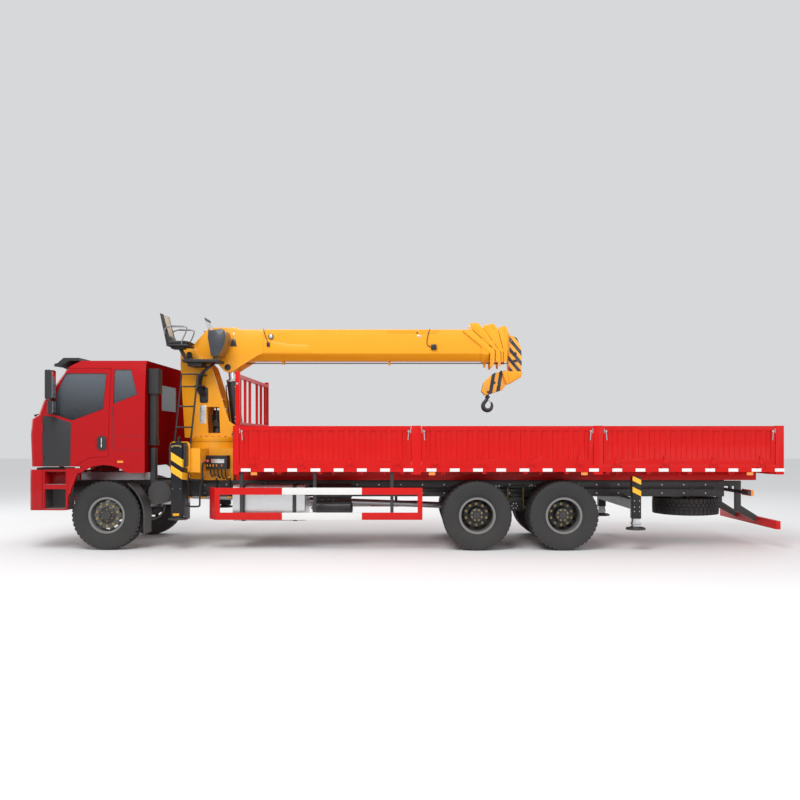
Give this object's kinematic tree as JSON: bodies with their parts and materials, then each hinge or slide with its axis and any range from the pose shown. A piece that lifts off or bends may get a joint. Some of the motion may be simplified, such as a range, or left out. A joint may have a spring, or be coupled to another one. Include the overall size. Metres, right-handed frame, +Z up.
{
  "type": "truck-mounted crane",
  "caption": "Drop-side cargo truck with tilting cab, twin rear axles and a slewing, luffing, telescopic boom crane with outriggers behind the cab.",
  "frame": {"origin": "on the ground, half way along and across the truck", "axes": "+X towards the tail, +Y towards the truck's right side, +Z up"},
  "size_m": [11.98, 2.88, 3.796],
  "materials": {
    "cab_red": "gloss red paint",
    "body_red": "red paint",
    "chassis_black": "black chassis paint",
    "crane_yellow": "orange-yellow paint",
    "guard_red_white": "red paint with white middle",
    "black_plastic": "black moulded plastic",
    "seat": "seat and its frame",
    "interior": "cab trim",
    "glass": "tinted glass",
    "lamp": "clear lamp lens",
    "tyre": "tyre rubber",
    "rim_steel": "grey painted steel",
    "tank_silver": "brushed aluminium",
    "rod_chrome": "polished rod",
    "leg_slate": "dark slate paint with yellow bands",
    "hook_steel": "dark forged steel"
  },
  "bodies": {
    "chassis": {"frame": "chassis_black", "running_gear": "chassis_black", "engine": "chassis_black", "tanks": "tank_silver", "underrun_guards": "guard_red_white", "bumper": "cab_red", "lamps": "lamp", "mudguards": "black_plastic", "air_cleaner": "black_plastic", "spare_wheel": "tyre", "cargo_deck": "body_red", "headboard": "body_red", "crane_base": "crane_yellow"},
    "cab": {"cab_shell": "cab_red", "cab_glass": "glass", "grille": "black_plastic", "cab_interior": "interior", "cab_trim": "black_plastic"},
    "door_left": {"door_left": "cab_red", "door_glass_left": "glass"},
    "knuckle_left": {"knuckle_left": "chassis_black"},
    "wheel_front_left": {"tyre_front_left": "tyre", "rim_front_left": "rim_steel"},
    "wheels_rear1_left": {"tyres_rear1_left": "tyre", "rims_rear1_left": "rim_steel"},
    "wheels_rear2_left": {"tyres_rear2_left": "tyre", "rims_rear2_left": "rim_steel"},
    "gate_left_1": {"gate_left_1": "body_red"},
    "gate_left_2": {"gate_left_2": "body_red"},
    "gate_left_3": {"gate_left_3": "body_red"},
    "front_beam_left": {"front_beam_left": "leg_slate"},
    "front_jack_left": {"front_jack_left": "leg_slate"},
    "rear_jack_left": {"rear_jack_left": "leg_slate"},
    "door_right": {"door_right": "cab_red", "door_glass_right": "glass"},
    "knuckle_right": {"knuckle_right": "chassis_black"},
    "wheel_front_right": {"tyre_front_right": "tyre", "rim_front_right": "rim_steel"},
    "wheels_rear1_right": {"tyres_rear1_right": "tyre", "rims_rear1_right": "rim_steel"},
    "wheels_rear2_right": {"tyres_rear2_right": "tyre", "rims_rear2_right": "rim_steel"},
    "gate_right_1": {"gate_right_1": "body_red"},
    "gate_right_2": {"gate_right_2": "body_red"},
    "gate_right_3": {"gate_right_3": "body_red"},
    "front_beam_right": {"front_beam_right": "leg_slate"},
    "front_jack_right": {"front_jack_right": "leg_slate"},
    "rear_jack_right": {"rear_jack_right": "leg_slate"},
    "gate_tail": {"gate_tail": "body_red"},
    "column": {"column": "crane_yellow", "operator_station": "seat"},
    "boom": {"boom_base": "crane_yellow"},
    "boom_section_2": {"boom_section_2": "crane_yellow"},
    "boom_section_3": {"boom_section_3": "crane_yellow"},
    "boom_section_4": {"boom_section_4": "crane_yellow"},
    "boom_section_5": {"boom_section_5": "crane_yellow"},
    "hook_block": {"hook_block": "crane_yellow"},
    "hook": {"hook": "hook_steel"},
    "lift_barrel": {"lift_barrel": "crane_yellow"},
    "lift_rod": {"lift_rod": "rod_chrome"}
  },
  "joints": [
    {"name": "cab_tilt", "type": "hinge", "parent": "chassis", "child": "cab", "pos_m": [-5.59, 0, 1], "axis": [0, -1, 0], "range_deg": [0, 45]},
    {"name": "door_left_hinge", "type": "hinge", "parent": "cab", "child": "door_left", "pos_m": [-5.508, -1.245, 2], "axis": [0, 0, -1], "range_deg": [0, 70]},
    {"name": "steer_left", "type": "hinge", "parent": "chassis", "child": "knuckle_left", "pos_m": [-4.56, -0.9, 0.5425], "axis": [0, 0, 1], "range_deg": [-35, 35]},
    {"name": "wheel_front_left_spin", "type": "hinge", "parent": "knuckle_left", "child": "wheel_front_left", "pos_m": [-4.56, -1.0105, 0.5425], "axis": [0, 1, 0], "continuous": true},
    {"name": "wheels_rear1_left_spin", "type": "hinge", "parent": "chassis", "child": "wheels_rear1_left", "pos_m": [1.24, -0.915, 0.5425], "axis": [0, 1, 0], "continuous": true},
    {"name": "wheels_rear2_left_spin", "type": "hinge", "parent": "chassis", "child": "wheels_rear2_left", "pos_m": [2.59, -0.915, 0.5425], "axis": [0, 1, 0], "continuous": true},
    {"name": "gate_left_1_hinge", "type": "hinge", "parent": "chassis", "child": "gate_left_1", "pos_m": [-1.1227, -1.262, 1.336], "axis": [1, 0, 0], "range_deg": [0, 180]},
    {"name": "gate_left_2_hinge", "type": "hinge", "parent": "chassis", "child": "gate_left_2", "pos_m": [1.701, -1.262, 1.336], "axis": [1, 0, 0], "range_deg": [0, 180]},
    {"name": "gate_left_3_hinge", "type": "hinge", "parent": "chassis", "child": "gate_left_3", "pos_m": [4.5247, -1.262, 1.336], "axis": [1, 0, 0], "range_deg": [0, 180]},
    {"name": "front_beam_left_slide", "type": "slide", "parent": "chassis", "child": "front_beam_left", "axis": [0, -1, 0], "range_m": [0, 1.35]},
    {"name": "front_jack_left_slide", "type": "slide", "parent": "front_beam_left", "child": "front_jack_left", "axis": [0, 0, -1], "range_m": [0, 0.475]},
    {"name": "rear_jack_left_slide", "type": "slide", "parent": "chassis", "child": "rear_jack_left", "axis": [0, 0, -1], "range_m": [0, 0.32]},
    {"name": "door_right_hinge", "type": "hinge", "parent": "cab", "child": "door_right", "pos_m": [-5.508, 1.245, 2], "axis": [0, 0, 1], "range_deg": [0, 70]},
    {"name": "steer_right", "type": "hinge", "parent": "chassis", "child": "knuckle_right", "pos_m": [-4.56, 0.9, 0.5425], "axis": [0, 0, 1], "range_deg": [-35, 35]},
    {"name": "wheel_front_right_spin", "type": "hinge", "parent": "knuckle_right", "child": "wheel_front_right", "pos_m": [-4.56, 1.0105, 0.5425], "axis": [0, 1, 0], "continuous": true},
    {"name": "wheels_rear1_right_spin", "type": "hinge", "parent": "chassis", "child": "wheels_rear1_right", "pos_m": [1.24, 0.915, 0.5425], "axis": [0, 1, 0], "continuous": true},
    {"name": "wheels_rear2_right_spin", "type": "hinge", "parent": "chassis", "child": "wheels_rear2_right", "pos_m": [2.59, 0.915, 0.5425], "axis": [0, 1, 0], "continuous": true},
    {"name": "gate_right_1_hinge", "type": "hinge", "parent": "chassis", "child": "gate_right_1", "pos_m": [-1.1227, 1.262, 1.336], "axis": [-1, 0, 0], "range_deg": [0, 180]},
    {"name": "gate_right_2_hinge", "type": "hinge", "parent": "chassis", "child": "gate_right_2", "pos_m": [1.701, 1.262, 1.336], "axis": [-1, 0, 0], "range_deg": [0, 180]},
    {"name": "gate_right_3_hinge", "type": "hinge", "parent": "chassis", "child": "gate_right_3", "pos_m": [4.5247, 1.262, 1.336], "axis": [-1, 0, 0], "range_deg": [0, 180]},
    {"name": "front_beam_right_slide", "type": "slide", "parent": "chassis", "child": "front_beam_right", "axis": [0, 1, 0], "range_m": [0, 1.35]},
    {"name": "front_jack_right_slide", "type": "slide", "parent": "front_beam_right", "child": "front_jack_right", "axis": [0, 0, -1], "range_m": [0, 0.475]},
    {"name": "rear_jack_right_slide", "type": "slide", "parent": "chassis", "child": "rear_jack_right", "axis": [0, 0, -1], "range_m": [0, 0.32]},
    {"name": "gate_tail_hinge", "type": "hinge", "parent": "chassis", "child": "gate_tail", "pos_m": [5.984, 0, 1.336], "axis": [0, 1, 0], "range_deg": [0, 180]},
    {"name": "slew", "type": "hinge", "parent": "chassis", "child": "column", "pos_m": [-3.14, 0, 1.7], "axis": [0, 0, 1], "continuous": true},
    {"name": "luff", "type": "hinge", "parent": "column", "child": "boom", "pos_m": [-3.512, 0, 3.154], "axis": [0, -1, 0], "range_deg": [0, 70]},
    {"name": "extend_2", "type": "slide", "parent": "boom", "child": "boom_section_2", "axis": [1, 0, 0], "range_m": [0, 3.3]},
    {"name": "extend_3", "type": "slide", "parent": "boom_section_2", "child": "boom_section_3", "axis": [1, 0, 0], "range_m": [0, 3.3]},
    {"name": "extend_4", "type": "slide", "parent": "boom_section_3", "child": "boom_section_4", "axis": [1, 0, 0], "range_m": [0, 3.3]},
    {"name": "extend_5", "type": "slide", "parent": "boom_section_4", "child": "boom_section_5", "axis": [1, 0, 0], "range_m": [0, 3.3]},
    {"name": "block_swing", "type": "hinge", "parent": "boom_section_5", "child": "hook_block", "pos_m": [1.7343, 0, 2.8931], "axis": [0, 1, 0], "range_deg": [0, 35]},
    {"name": "hook_swivel", "type": "hinge", "parent": "hook_block", "child": "hook", "pos_m": [1.503, 0, 2.4], "axis": [0, 0, 1], "continuous": true},
    {"name": "lift_barrel_tilt", "type": "hinge", "parent": "column", "child": "lift_barrel", "pos_m": [-2.755, 0, 1.86], "axis": [0, -1, 0], "range_deg": [0, 4.1]},
    {"name": "lift_rod_slide", "type": "slide", "parent": "lift_barrel", "child": "lift_rod", "axis": [-0.1163, 0, 0.9932], "range_m": [0, 0.7556]}
  ],
  "couplings": [
    {"joint": "steer_left", "follows": "steer_right", "ratio": 1},
    {"joint": "lift_barrel_tilt", "follows": "luff", "ratio": 0.05847},
    {"joint": "lift_rod_slide", "follows": "luff", "m_per_rad": 0.61769},
    {"joint": "extend_3", "follows": "extend_2", "ratio": 1},
    {"joint": "extend_4", "follows": "extend_2", "ratio": 1},
    {"joint": "extend_5", "follows": "extend_2", "ratio": 1}
  ]
}
